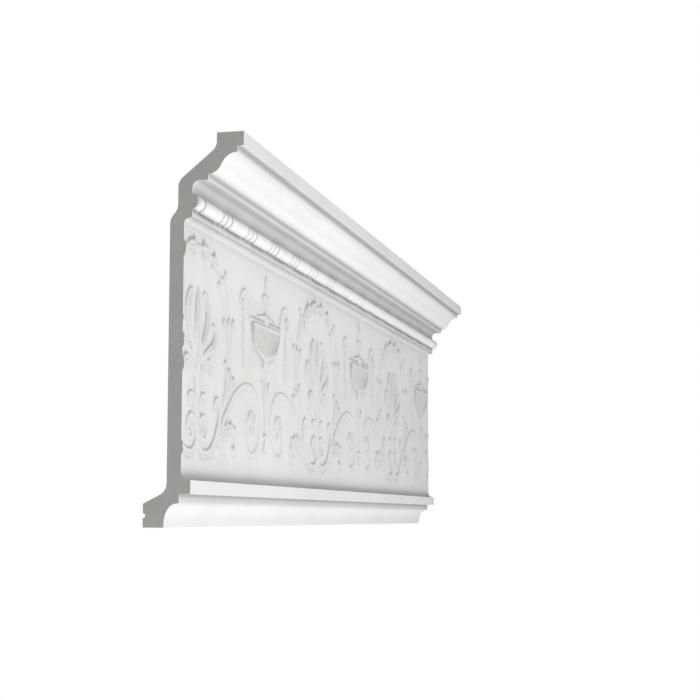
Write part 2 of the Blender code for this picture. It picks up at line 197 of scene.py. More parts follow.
def across_path(path, across, up):
    """The offset from a path as a share of its half width there, signed, and that half width."""
    start, end = path[:-1], path[1:]
    run = (end - start)[:, :, None, None]
    reach = np.maximum(run[:, 0] ** 2 + run[:, 1] ** 2, 1e-9)
    east = across[None, None, :] - start[:, 0, None, None]
    north = up[None, :, None] - start[:, 1, None, None]
    share = np.clip((east * run[:, 0] + north * run[:, 1]) / reach, 0, 1)
    off = np.hypot(east - share * run[:, 0], north - share * run[:, 1])
    half = np.maximum(start[:, 2, None, None] + share * run[:, 2], LEAST_HALF)
    side = np.where(run[:, 0] * north - run[:, 1] * east >= 0, 1.0, -1.0)
    nearest = (off / half).argmin(0)[None]

    def pick(values):
        return np.take_along_axis(values, nearest, 0)[0]

    return pick(side * off / half), pick(half)


def near_stroke(points):
    """Each part of the field that a stroke may reach, with the offsets and half widths there."""
    path = smooth(points)
    margin = path[:, 2].max() + 1
    for shift, rows, columns in windows(path[:, :2].min(0) - margin, path[:, :2].max(0) + margin):
        offset, half = across_path(path, ACROSS[columns] - shift, UP[rows])
        yield np.ix_(rows, columns), offset, half


def raised(field, points, grooves=(), rise=1.0, flat=2.6):
    """Raise a tapering stroke out of the field, with hollow grooves along it.

    Each groove is (offset, width, depth): shares of the half width, and of the height there.
    """
    for part, offset, half in near_stroke(points):
        height = rise * RELIEF * np.sqrt(half / RELIEF_WIDTH)
        height = height * np.sqrt(np.clip(1 - np.abs(offset) ** flat, 0, 1))
        for at, width, depth in grooves:
            height = height * (1 - depth * np.exp(-(((offset - at) / width) ** 2)))
        field[part] = np.maximum(field[part], height)


def cut(field, points, depth):
    """Cut a soft groove into what stands there."""
    for part, offset, half in near_stroke(points):
        field[part] = field[part] * (1 - depth * np.clip(1 - offset**2, 0, 1))


def about(axis, stroke, side=1):
    """A stroke set about an axis, or its mirror image there for a side of -1."""
    return [(axis + side * across, up, half) for across, up, half in stroke]


def raised_pair(field, stroke, grooves=(), axis=0.0, **form):
    """Raise a stroke and its mirror image about an axis, grooves and all."""
    for side in (1, -1):
        turned = [(side * at, width, depth) for at, width, depth in grooves]
        raised(field, about(axis, stroke, side), turned, **form)


def ball(field, across, up, radius, rise=1.0):
    """Raise a round boss, as a stroke too short to show its length."""
    raised(field, [(across - 0.01, up, radius), (across + 0.01, up, radius)], rise=rise)


def balls(field, across, up, radius, rise=1.0, axis=0.0):
    """Raise a round boss on each side of an axis."""
    for side in (-1, 1):
        ball(field, axis + side * across, up, radius, rise)


def palmette(field):
    """The palmette: a pointed petal between three pairs of curling plumes."""
    lower = [(5, 76, 2), (12, 86, 3.4), (21, 91.5, 4.2), (30, 92, 4.6), (35.5, 87, 4), (33, 81.5, 2.6)]
    lower.append((29, 83, 0))
    middle = [(4, 88, 2), (14, 95, 3), (26, 101.5, 4), (38, 106, 5), (45.5, 113, 5.6), (45, 121, 4.8)]
    middle += [(39.5, 124.5, 3), (35.5, 122, 0)]
    upper = [(3, 92, 2), (10, 101, 4), (18, 112, 5.6), (25, 124, 6.6), (26.5, 135, 6.6), (22, 145, 5.2)]
    upper += [(15, 148.5, 3.2), (10, 144, 0)]
    raised_pair(field, lower, [(-0.05, 0.22, 0.5)], flat=3.0)
    raised_pair(field, middle, [(-0.42, 0.15, 0.45), (0.2, 0.2, 0.6)], flat=3.0)
    raised_pair(field, upper, [(-0.42, 0.14, 0.45), (0.2, 0.2, 0.6)], flat=3.0)
    petal = [(0, 84, 4), (0, 98, 5), (0, 112, 6.6), (0, 128, 8), (0, 141, 6.2), (0, 149, 3), (0, 155, 0)]
    raised(field, petal, [(-0.5, 0.16, 0.5), (0.5, 0.16, 0.5)], rise=1.15)
    raised_pair(field, [(5, 93, 2.2), (6.5, 108, 3), (7, 122, 1.4), (6.5, 128, 0)], rise=0.8)


def stem(field):
    """The palmette's stem with its calyx, its two hooks and its two volutes."""
    raised(field, [(0, 20, 3), (0, 34, 5), (0, 52, 5), (0, 60, 4)], [(-0.45, 0.2, 0.4), (0.45, 0.2, 0.4)])
    calyx = [(0, 56, 3.6), (0, 66, 3.4), (0, 74, 5), (0, 84, 7), (0, 92, 7.4)]
    raised(field, calyx, [(0, 0.15, 0.3)], rise=0.9)
    raised_pair(field, [(3, 60, 1.6), (4.6, 67, 2.6), (6.5, 76, 2.2), (9, 84, 0)], rise=1.1)
    balls(field, 3.6, 67, 3.2, 1.1)
    hook = [(3.5, 40, 1.6), (5.5, 54, 2.4), (10, 62.5, 2.8), (17, 64, 2.8), (22, 61, 3)]
    hook += [(20.5, 56.5, 2.2), (17.5, 58, 0)]
    volute = [(2, 33, 2), (6, 41, 2.8), (14, 46.2, 3), (22, 43.4, 3), (25.6, 35.4, 3), (21.6, 28, 2.8)]
    volute += [(15, 27.6, 2.4), (11.6, 32.4, 2), (13.6, 37.2, 1.4), (17.6, 37.6, 0)]
    for curl in (hook, volute):
        raised_pair(field, curl, [(0, 0.35, 0.35)], flat=4.0)
    balls(field, 18, 33.5, 2.6, 0.8)


def arms(field):
    """The two arms that rise from the stem's foot to carry the wreath, with a leaf on each outer side."""
    arm = [(0, 30, 2.4), (5, 22, 3.6), (13, 16.2, 4), (24, 15.4, 4.2), (36, 18.6, 4.6), (47, 26.6, 5)]
    arm += [(55.4, 38, 5), (59.6, 50, 4), (58, 59.5, 3.2), (51.5, 63.2, 3), (46, 59.6, 2.8)]
    arm += [(46.4, 53.6, 2.4), (50.6, 52.4, 0)]
    raised_pair(field, arm, [(0.15, 0.4, 0.35)], flat=4.0)
    leaf = [(52, 30, 4), (62, 33, 6), (74, 36.6, 6.4), (86, 39.4, 6.2), (97, 38.6, 5.6), (105, 32.6, 5)]
    leaf += [(106, 24.6, 4.4), (101.4, 20.4, 3.4), (97, 22, 2)]
    raised_pair(field, leaf, [(-0.3, 0.16, 0.4), (0.35, 0.14, 0.3)], flat=3.0)
    lobes = [[(66, 36, 3), (69, 42, 3.4), (70, 47, 1)], [(78, 39, 3), (81, 44.6, 3.6), (82, 48.6, 1)]]
    lobes += [[(90, 40, 3), (93.4, 44.4, 3), (95, 47, 1)], [(100, 36, 3), (105, 40.6, 3), (108, 42.4, 1)]]
    for lobe in lobes:
        raised_pair(field, lobe, [(0, 0.2, 0.3)], flat=3.0)
    for across, up in ((72, 33.4), (84, 36), (60, 29.6)):
        vein = [(across - 2, up - 1, 0), (across, up + 5, 0.9), (across + 1, up + 10, 0)]
        for side in (1, -1):
            cut(field, about(0.0, vein, side), 0.55)
    balls(field, 98, 22.6, 3.2, 1.1)


def running_scroll(field):
    """The long scroll from the wreath to the volute beside the urn."""
    scroll = [(57, 24, 3.4), (64, 37, 4), (73, 48, 3.8), (86, 59, 3.2), (101, 70, 3), (118, 77.6, 2.8)]
    scroll += [(134, 81.8, 2.6), (150, 82.2, 2.4), (164, 78.6, 2.4), (175, 69.6, 2.4), (181.6, 57, 2.4)]
    scroll += [(181.8, 43.4, 2.4), (176.4, 30.6, 2.4), (166.4, 22, 2.4), (154, 19.6, 2.4), (144, 23.8, 2.2)]
    scroll += [(138.6, 33, 2), (138.4, 43, 1.4), (140, 50, 0)]
    raised_pair(field, scroll, [(0, 0.5, 0.45)], rise=0.9, flat=6.0)


def spoke(centre, degrees, reach):
    """A straight stroke outwards from a centre, through points (distance, half width)."""
    turn = math.radians(degrees)
    toward = math.cos(turn), math.sin(turn)
    return [(centre[0] + far * toward[0], centre[1] + far * toward[1], half) for far, half in reach]


def rosettes(field):
    """The ringed rosettes of four petals inside the scroll's volutes."""
    petal = [(2.5, 1.6), (6.4, 4.2), (9.6, 4.2), (12, 2.4)]
    sepal = [(5, 1), (10, 1.8), (13.6, 0)]
    for side in (-1, 1):
        centre = side * 155.0, 46.2
        raised(field, [(centre[0], centre[1], 15), (centre[0] + 0.1, centre[1], 15)], rise=0.34, flat=14.0)
        for quarter_turn in range(4):
            raised(field, spoke(centre, 45 + 90 * quarter_turn, petal), [(0, 0.24, 0.5)], rise=1.2, flat=3.0)
            raised(field, spoke(centre, 90 * quarter_turn, sepal), rise=1.1)
        ball(field, centre[0], centre[1], 2.8, 1.5)


def husk(field, root, mouth, width):
    """A bell-shaped husk from its root to its mouth, with lips that curl outwards."""
    root = np.array(root, float)
    along = np.array(mouth, float) - root
    length = math.hypot(*along)
    along = along / length
    beside = np.array([-along[1], along[0]])

    def at(far, off, half):
        point = root + along * (far * length) + beside * off
        return (point[0], point[1], half)

    body = [at(0, 0, 0.8), at(0.22, 0, 0.22 * width), at(0.55, 0, 0.33 * width), at(0.86, 0, 0.4 * width)]
    body.append(at(0.98, 0, 0.3 * width))
    raised(field, body, [(0, 0.16, 0.45), (-0.55, 0.12, 0.25), (0.55, 0.12, 0.25)])
    for side in (-1, 1):
        edge = [at(0.1, side * 0.08 * width, 0.6), at(0.5, side * 0.27 * width, 1.3)]
        edge += [at(0.82, side * 0.4 * width, 1.7), at(0.99, side * 0.62 * width, 2.2)]
        edge += [at(1.02, side * 0.86 * width, 2.4), at(0.93, side * 0.99 * width, 2.0)]
        edge.append(at(0.86, side * 0.88 * width, 0.6))
        raised(field, edge, rise=1.12)


def crown_tubes(field):
    """The short tubes at the wreath's crown, each with a raised rim across its mouth."""
    outer = [(54, 174.6, 2.4), (48, 178, 5), (40, 182, 6)]
    outer_rim = [(42.4, 189, 1.2), (38.6, 182.4, 2), (36, 175.4, 1.2)]
    inner = [(28, 185.4, 2.4), (22, 186.6, 5), (13, 187.8, 5.6)]
    inner_rim = [(12.6, 195, 1.2), (11, 188, 2), (10.4, 180.6, 1.2)]
    for tube, rim in ((outer, outer_rim), (inner, inner_rim)):
        for side in (1, -1):
            raised(field, about(0.0, tube, side), [(0, 0.16, 0.4)], rise=1.15, flat=3.0)
            raised(field, about(0.0, rim, side), rise=1.7)


def wreath_ring(field):
    """The husks, tubes and beads strung along the wreath, from the arms up to its crown."""
    chain = [((68.5, 54.0), (88, 90.0), 17), ((87.5, 93.5), (84, 134.0), 17)]
    chain.append(((83.0, 139.0), (64, 169.0), 14))
    for root, mouth, width in chain:
        for side in (-1, 1):
            husk(field, (side * root[0], root[1]), (side * mouth[0], mouth[1]), width)
    crown_tubes(field)
    beads = [(81, 143, 2.6), (61.5, 168, 2.8), (57, 172, 2.6), (32, 183.6, 3.2), (6, 188.4, 2.6)]
    beads.append((0, 188.4, 2.8))
    for across, up, radius in beads:
        balls(field, across, up, radius)
    for across, up in ((88.6, 104.5), (84.5, 112)):
        balls(field, across, up, 1.8, 1.3)


def wreath(field):
    """One wreath with the palmette that it frames and the scrolls beside it."""
    wreath_ring(field)
    running_scroll(field)
    rosettes(field)
    arms(field)
    palmette(field)
    stem(field)


def bowl(field):
    """The urn's bowl: a fluted half round under a rim, with a low lid."""
    top, depth, half_width = 142, 29.0, 45.5
    rows = 22
    for row in range(rows):
        down = 1 - (1 - row / (rows - 1)) ** 1.7
        half = half_width * math.sqrt(1 - (0.98 * down) ** 2.5)
        up = top - depth * down
        layer = [(-half + 2.2, up, 2.4), (0, up, 2.4), (half - 2.2, up, 2.4)]
        raised(field, about(URN, layer), rise=2.2 - 0.5 * down, flat=8.0)
    flute_top = 139.6
    for flute in range(-5, 6):
        wide = 8.3 * flute
        narrow = 5.6 * flute
        low = 116 + 0.22 * flute**2
        points = [(wide, flute_top, 1.9), (0.8 * wide + 0.2 * narrow, 0.65 * flute_top + 0.35 * low, 2.0)]
        points += [(0.4 * wide + 0.6 * narrow, 0.28 * flute_top + 0.72 * low, 1.6), (narrow, low, 1.1)]
        cut(field, about(URN, points), 0.6)
    rim = [(-48, 146, 1.2), (-45, 145.8, 2.4), (45, 145.8, 2.4), (48, 146, 1.2)]
    raised(field, about(URN, rim), rise=1.35)
    lid = [(-29.5, 150.4, 1.2), (-16, 151.4, 2.2), (0, 152, 3), (16, 151.4, 2.2), (29.5, 150.4, 1.2)]
    raised(field, about(URN, lid), rise=1.2, flat=3.0)


def urn_stand(field):
    """The leaf skirt under the bowl and the slender foot below it."""
    for leaf in range(-2, 3):
        lean = leaf / 2
        points = [(1.6 * lean, 117, 1.4), (5.2 * lean, 109, 2.1), (9.4 * lean, 101.4 + abs(lean), 2.1)]
        points.append((11.6 * lean, 98.6 + 1.4 * abs(lean), 0))
        raised(field, about(URN, points), [(0, 0.3, 0.45)], rise=1.25, flat=3.0)
    shaft = [(0, 106, 2.2), (0, 96, 2.2), (0, 88, 2.8), (0, 80, 4.2), (0, 66, 4.2), (0, 50, 3), (0, 42, 2.4)]
    shaft.append((0, 38, 2.6))
    raised(field, about(URN, shaft), [(-0.25, 0.2, 0.35), (0.35, 0.2, 0.35)])
    lip = [(2.6, 58, 1.2), (4.6, 72, 2.2), (7, 82, 2.4), (10.5, 88.4, 2.2), (14.5, 90.8, 0)]
    raised_pair(field, lip, axis=URN, rise=1.2)
    raised(field, about(URN, [(-5.6, 38.6, 1.6), (0, 39.2, 2.8), (5.6, 38.6, 1.6)]), rise=1.3)
    raised_pair(field, [(0.6, 36, 1.8), (3, 29.6, 2.1), (5, 24, 2), (6.6, 20.6, 0)], axis=URN, rise=1.2)
    raised(field, about(URN, [(0, 36, 1.4), (0, 28, 1.6), (0, 22, 0)]))
    for across, up in ((-1.6, 62), (1.2, 56), (-1.4, 50)):
        ball(field, across + URN, up, 1.8, 1.4)


def finial(field):
    """The urn's finial, with a small wing on each side."""
    neck = [(0, 150, 8), (0, 153.4, 4.4), (0, 158, 2.6), (0, 163, 2.6), (0, 168, 3.6)]
    raised(field, about(URN, neck), rise=1.1)
    raised(field, about(URN, [(-2.6, 172.4, 2.2), (2.6, 172.4, 2.2)]), rise=1.3)
    tip = [(0, 174, 2.8), (0, 180, 4.2), (0, 186, 4.2), (0, 191, 2)]
    raised(field, about(URN, tip), [(0.2, 0.25, 0.25)], rise=1.1)
    wing = [(2, 166, 1.6), (5, 171.4, 2.4), (9.4, 171, 2.4), (11.6, 166.6, 1.6), (9.4, 165, 0)]
    raised_pair(field, wing, axis=URN, rise=1.1)


def handles(field):
    """The urn's two scrolled handles and the husk drops that hang from them."""
    handle = [(50.5, 145, 2.6), (52, 154, 2.8), (57.4, 163.4, 2.8), (66, 168.2, 2.8), (75.4, 166.6, 2.8)]
    handle += [(81.6, 159.6, 2.6), (81, 151.6, 2.4), (76, 148, 2), (72.6, 150.8, 0)]
    raised_pair(field, handle, [(0, 0.4, 0.35)], axis=URN, flat=4.0)
    curl = [(78, 157.4, 1.2), (74, 158.4, 2.4), (71.6, 155, 2.4), (71.8, 150, 1.8)]
    raised_pair(field, curl, axis=URN, rise=1.2)
    drop = [(71.8, 152, 1.4), (72, 142, 2.8), (72.2, 126, 3.5), (72, 116, 2.8), (71.8, 112.6, 1.6)]
    # Both drops have their groove on the same side of the path
    for side in (1, -1):
        raised(field, about(URN, drop, side), [(0.1, 0.3, 0.4)])
    tail = [(71.6, 110.6, 1.2), (71.8, 104, 2.4), (72, 97, 2), (72, 92.6, 0)]
    raised_pair(field, tail, [(0, 0.3, 0.3)], axis=URN)
    balls(field, 71.8, 112.4, 2.4, 1.2, axis=URN)


def urn(field):
    """One urn on its stand, with its finial and handles."""
    bowl(field)
    urn_stand(field)
    finial(field)
    handles(field)


def softened(field):
    """Round the field's edges a little, as a coat of primer does."""
    field = 0.25 * (np.roll(field, 1, 1) + np.roll(field, -1, 1)) + 0.5 * field
    padded = np.vstack([field[:1], field, field[-1:]])
    return 0.25 * (padded[:-2] + padded[2:]) + 0.5 * padded[1:-1]


def carving_field():
    field = np.zeros((len(UP), len(ACROSS)))
    wreath(field)
    urn(field)
    return softened(field)


# The profile, as points (out, up)


def quarter(start, end, leaves, power=1.0):
    """A quarter of an ellipse that leaves its start going 'out' or 'up'."""
    points = []
    for step in range(1, QUARTER_STEPS + 1):
        turn = math.pi / 2 * step / QUARTER_STEPS
        along = math.sin(turn) ** power
        across = 1 - math.cos(turn) ** power if step < QUARTER_STEPS else 1.0
        share_out, share_up = (along, across) if leaves == "out" else (across, along)
        points.append((start[0] + (end[0] - start[0]) * share_out, start[1] + (end[1] - start[1]) * share_up))
    return points


def bend(first, corner, last, steps):
    """A curve that leaves first heading for the corner and reaches last from there."""
    points = []
    for step in range(steps + 1):
        share = step / steps
        ends = (1 - share) ** 2, 2 * share * (1 - share), share**2
        out = ends[0] * first[0] + ends[1] * corner[0] + ends[2] * last[0]
        points.append((out, ends[0] * first[1] + ends[1] * corner[1] + ends[2] * last[1]))
    return points


def arc_corner(before, corner, after, radius, steps):
    """The corner of an outline as an arc that touches both of its sides."""
    to_before = Vector(before) - Vector(corner)
    to_after = Vector(after) - Vector(corner)
    opening = to_before.angle(to_after)
    setback = min(radius / math.tan(opening / 2), 0.4 * to_before.length, 0.4 * to_after.length)
    first = Vector(corner) + to_before.normalized() * setback
    last = Vector(corner) + to_after.normalized() * setback
    return bend(first, corner, last, steps)


def eased(points):
    """Soften every arris of an open run of the profile."""
    result = [points[0]]
    for before, corner, after in zip(points, points[1:], points[2:]):
        turn = (Vector(corner) - Vector(before)).angle(Vector(after) - Vector(corner))
        if turn > ARRIS_FROM:
            result += arc_corner(before, corner, after, ARRIS, ARRIS_STEPS)
        else:
            result.append(corner)
    return result + [points[-1]]


def lower_run():
    """From the wall seat's foot along the underside and up to the frieze."""
    points = [(0.0, 0.0), (FOOT_OUT, 0.0)]
    points += quarter(points[-1], (LOWER_FILLET_OUT, CAVETTO_HEIGHT), "up", CAVETTO_BEND)
    up = CAVETTO_HEIGHT + LOWER_FILLET_HEIGHT
    points += [(LOWER_FILLET_OUT, up), (PLINTH_OUT, up)]
    up += PLINTH_HEIGHT
    points.append((PLINTH_OUT, up))
    points += quarter(points[-1], (FRIEZE_OUT, FRIEZE_FOOT), "out")
    return eased(points)[:-1]


def collar_run():
    """From the frieze's head up the cove and round the quirk to the collar's lower arris."""
    points = [(FRIEZE_OUT, FRIEZE_HEAD)]
    arris = FRIEZE_HEAD + HEAD_COVE_HEIGHT
    points += quarter(points[-1], (COLLAR_OUT - QUIRK_DEPTH, arris - QUIRK_HEIGHT), "up", HEAD_COVE_BEND)
    points += [(COLLAR_OUT - QUIRK_DEPTH, arris), (COLLAR_OUT, arris)]
    return points[1:]


def thread_run():
    """The collar's upper edge, the thread and the foot of the scotia."""
    points = [(COLLAR_OUT, THREAD_FOOT - FAN_BELOW), (COLLAR_OUT, THREAD_FOOT)]
    points += quarter(points[-1], (THREAD_OUT, THREAD_FOOT + THREAD_ROUND_HEIGHT), "out")
    points.append((THREAD_OUT, THREAD_FOOT + THREAD_ROUND_HEIGHT + THREAD_FACE_HEIGHT))
    up = THREAD_FOOT + THREAD_HEIGHT
    points += [(SCOTIA_OUT, up), (SCOTIA_OUT, up + FAN_ABOVE)]
    return eased(points)


def crown_run():
    """The scotia's round, the crown's fillet, the cyma, the upper fillet, the fascia and the top."""
    up = THREAD_FOOT + THREAD_HEIGHT
    points = [(SCOTIA_OUT, up), (SCOTIA_OUT, up + SCOTIA_FACE_HEIGHT)]
    up += SCOTIA_HEIGHT
    points += quarter(points[-1], (SCOTIA_OUT + SCOTIA_ROUND_HEIGHT, up), "up")
    points.append((CROWN_FILLET_OUT, up))
    up += CROWN_FILLET_HEIGHT
    points.append((CROWN_FILLET_OUT, up))
    depth = CYMA_OUT - CROWN_FILLET_OUT
    turn = (CROWN_FILLET_OUT + CYMA_TURN * depth, up + CYMA_TURN * CYMA_HEIGHT)
    points += bend(points[-1], (turn[0] - CYMA_TURN / CYMA_STEEPNESS * depth, up), turn, QUARTER_STEPS)[1:]
    up += CYMA_HEIGHT
    upper = (turn[0] + (1 - CYMA_TURN) / CYMA_STEEPNESS * depth, up)
    points += bend(turn, upper, (CYMA_OUT, up), QUARTER_STEPS)[1:]
    up += TOP_FILLET_HEIGHT
    points += [(CYMA_OUT, up), (FASCIA_OUT, up), (FASCIA_OUT, HEIGHT)]
    points.append((FASCIA_OUT - CEILING_SEAT_DEPTH, HEIGHT))
    return eased(points)[1:]


def back_run():
    """The hollow behind the face and the wall seat with its glue groove."""
    seat_edge = FASCIA_OUT - CEILING_SEAT_DEPTH
    crown_foot = THREAD_FOOT + THREAD_HEIGHT + SCOTIA_HEIGHT
    corners = [
        (seat_edge, HEIGHT),
        (seat_edge, HEIGHT - HOLLOW_HEAD_DROP),
        (SCOTIA_OUT - WALL, crown_foot),
        (SCOTIA_OUT - WALL, THREAD_FOOT + HOLLOW_SHIFT),
        (FRIEZE_OUT - WALL, FRIEZE_HEAD + HEAD_COVE_HEIGHT - HOLLOW_SHIFT),
        (FRIEZE_OUT - WALL, SEAT_HEIGHT + HOLLOW_FOOT_RISE),
        (0.0, SEAT_HEIGHT),
    ]
    points = []
    for before, corner, after in zip(corners, corners[1:], corners[2:]):
        points += arc_corner(before, corner, after, HOLLOW_ROUND, HOLLOW_STEPS)
    points.append(corners[-1])
    for step in range(GLUE_GROOVE_STEPS + 1):
        turn = math.pi * step / GLUE_GROOVE_STEPS
        up = GLUE_GROOVE_UP + GLUE_GROOVE_RADIUS * math.cos(turn)
        points.append((GLUE_GROOVE_RADIUS * math.sin(turn), up))
    return points


# The strand of beads


def bead_columns():
    """Where the strand's sections lie along the length, and the strand's radius at each."""
    long_bead = BEAD_PERIOD - 2 * BALL_LENGTH - 3 * STRAND_NECK
    neck = NECK_SHARE * BEAD_RADIUS
    turns = np.linspace(0, math.pi / 2, BEAD_POINTS)
    radius = neck + (BEAD_RADIUS - neck) * np.sin(turns) ** BEAD_BEND
    start = -HALF - STRAND_NECK - BALL_LENGTH
    sections = []
    while start < HALF:
        for length in (BALL_LENGTH, BALL_LENGTH, long_bead):
            round_end = BALL_LENGTH / 2 if length == BALL_LENGTH else LONG_BEAD_ROUND
            rise = round_end * (1 - np.cos(turns))
            sections += [(start + far, size) for far, size in zip(rise, radius)]
            finish = start + length
            falling = [(finish - far, size) for far, size in zip(rise, radius)][::-1]
            sections += falling if length > 2 * round_end else falling[1:]
            start += length + STRAND_NECK
    places = np.array([place for place, size in sections])
    sizes = np.array([size for place, size in sections])
    inside = (places > -HALF + NEAR) & (places < HALF - NEAR)
    ends = np.interp([-HALF, HALF], places, sizes)
    places = np.concatenate([[-HALF], places[inside], [HALF]])
    return places, np.concatenate([ends[:1], sizes[inside], ends[1:]])


def thread_rows(radii):
    """Sections of the thread with its beads, as arrays (row, column) of out and up.

    Rows fan out from a point behind the strand. Each reaches the thread or the bead, whichever is farther.
    """
    axis_out = THREAD_OUT - STRAND_BACK
    centre = Vector((axis_out - FAN_BACK, THREAD_FOOT + THREAD_ROUND_HEIGHT - STRAND_DROP))
    outline = thread_run()
    fan = [math.atan2(up - centre.y, out - centre.x) for out, up in outline]
    turns = np.unique(np.round(np.concatenate([fan, np.linspace(fan[0], fan[-1], FAN_ROWS)]), 4))
    turns[0], turns[-1] = fan[0], fan[-1]
    rows_out = []
    rows_up = []
    for turn in turns:
        # Where the ray meets the thread's outline
        place = int(np.clip(np.searchsorted(fan, turn) - 1, 0, len(fan) - 2))
        first, last = Vector(outline[place]), Vector(outline[place + 1])
        ray = Vector((math.cos(turn), math.sin(turn)))
        edge = last - first
        across = ray.x * edge.y - ray.y * edge.x
        plain = ((first.x - centre.x) * edge.y - (first.y - centre.y) * edge.x) / across
        # The thread lies deeper between the beads than along its edges
        plain -= GAP_DEPTH * math.sin(math.pi * (turn - fan[0]) / (fan[-1] - fan[0]))
        shortfall = radii**2 - (FAN_BACK * math.sin(turn)) ** 2
        bead = np.where(shortfall > 0, FAN_BACK * math.cos(turn) + np.sqrt(np.maximum(shortfall, 0)), 0)
        far = np.maximum(plain, bead)
        rows_out.append(centre.x + far * math.cos(turn))
        rows_up.append(centre.y + far * math.sin(turn))
    return np.array(rows_out), np.array(rows_up)


# The mesh


def decimated_carving(field):
    """The carved frieze as a reduced mesh of triangles, along, out and up."""
    columns = round(LENGTH / PITCH) + 1
    along = np.linspace(-HALF, HALF, columns)
    heights = field[:, np.arange(columns) % field.shape[1]]
    grid_along, grid_up = np.meshgrid(along, FRIEZE_FOOT + UP)
    points = np.stack([grid_along, -(FRIEZE_OUT + heights), grid_up], -1).reshape(-1, 3)
    index = np.arange(len(UP) * columns).reshape(len(UP), columns)
    quads = np.stack([index[:-1, :-1], index[:-1, 1:], index[1:, 1:], index[1:, :-1]], -1).reshape(-1, 4)
    mesh = bpy.data.meshes.new("carving")
    mesh.vertices.add(len(points))
    mesh.vertices.foreach_set("co", points.astype(np.float32).ravel())
    mesh.loops.add(quads.size)
    mesh.loops.foreach_set("vertex_index", quads.astype(np.int32).ravel())
    mesh.polygons.add(len(quads))
    mesh.polygons.foreach_set("loop_start", np.arange(0, quads.size, 4, dtype=np.int32))
    mesh.update(calc_edges=True)
    carving = bpy.data.objects.new("carving", mesh)
    bpy.context.scene.collection.objects.link(carving)
    reduce = carving.modifiers.new("reduce", "DECIMATE")
    reduce.ratio = CARVING_TRIANGLES / (2 * len(quads))
    evaluated = carving.evaluated_get(bpy.context.evaluated_depsgraph_get())
    reduced = bpy.data.meshes.new_from_object(evaluated)
    bpy.data.objects.remove(carving, do_unlink=True)
    return reduced


def edge_row(shell, test, key):
    """Boundary vertices of the carving that pass a test, in order."""
    found = {v.index for edge in shell.edges if edge.is_boundary for v in edge.verts if test(v.co)}
    return sorted(found, key=lambda i: key(shell.verts[i].co))


def carving_at(values, points):
    """Values of the field's grid at points of the carving."""
    columns = np.round((points[:, 0] + HALF) / PITCH).astype(int) % values.shape[1]
    rows = np.round((points[:, 2] - FRIEZE_FOOT) / ROW_PITCH).astype(int)
    return values[np.clip(rows, 0, len(UP) - 1), columns]


def write_attribute(mesh, name, values):
    """Values for the mesh's first vertices, and nought for the rest."""
    full = np.zeros(len(mesh.vertices), np.float32)
    full[: len(values)] = values
    mesh.attributes.new(name, "FLOAT", "POINT").data.foreach_set("value", full)


class Skin:
    """The surface of the length, which starts as the carved frieze and grows by rows of vertices along it."""

    def __init__(self, field):
        reduced = decimated_carving(field)
        shell = bmesh.new()
        shell.from_mesh(reduced)
        shell.verts.ensure_lookup_table()
        self.foot = edge_row(shell, lambda co: co.z < FRIEZE_FOOT + NEAR, lambda co: co.x)
        self.head = edge_row(shell, lambda co: co.z > FRIEZE_HEAD - NEAR, lambda co: co.x)
        self.left = edge_row(shell, lambda co: co.x < -HALF + NEAR, lambda co: co.z)
        self.right = edge_row(shell, lambda co: co.x > HALF - NEAR, lambda co: co.z)
        self.verts = [tuple(v.co) for v in shell.verts]
        for row, end in ((self.left, -HALF), (self.right, HALF)):
            for i in row:
                self.verts[i] = (end, self.verts[i][1], self.verts[i][2])
        self.carved = np.array(self.verts)
        self.faces = [tuple(v.index for v in face.verts) for face in shell.faces]
        self.materials = [PRIMER] * len(self.faces)
        self.left_edge = []
        self.right_edge = []
        shell.free()
        bpy.data.meshes.remove(reduced)

    def face(self, corners, material):
        self.faces.append(tuple(corners))
        self.materials.append(material)

    def join(self, lower, upper, material):
        """One face between two rows."""
        self.face([*lower, *reversed(upper)], material)

    def note(self, row):
        """Let a row's ends take part in the sawn ends."""
        self.left_edge.append(row[0])
        self.right_edge.append(row[-1])

    def grow(self, last, run, material):
        """Join straight rows through the points of a run to the last row, and give the newest one."""
        for out, up in run:
            self.verts += [(-HALF, -out, up), (HALF, -out, up)]
            row = [len(self.verts) - 2, len(self.verts) - 1]
            self.note(row)
            if last:
                self.join(last, row, material)
            last = row
        return last

    def pass_frieze(self, last):
        """Join the carved frieze to the last row, and give its head."""
        self.join(last, self.foot, PRIMER)
        self.left_edge += self.left
        self.right_edge += self.right
        return self.head

    def thread(self, last):
        """Join the thread with its strand of beads to the last row, and give its top row."""
        places, radii = bead_columns()
        grid = []
        for row_out, row_up in zip(*thread_rows(radii)):
            grid.append(list(range(len(self.verts), len(self.verts) + len(places))))
            self.verts.extend((place, -out, up) for place, out, up in zip(places, row_out, row_up))
        for lower, upper in zip(grid, grid[1:]):
            for corners in zip(lower, lower[1:], upper[1:], upper):
                self.face(corners, PRIMER)
        self.join(last, grid[0], PRIMER)
        for row in grid:
            self.note(row)
        return grid[-1]

    def close(self, last, first):
        """Close the back, then both ends."""
        self.join(last, first, BACK)
        self.face(self.left_edge, SAWN)
        self.face(reversed(self.right_edge), SAWN)


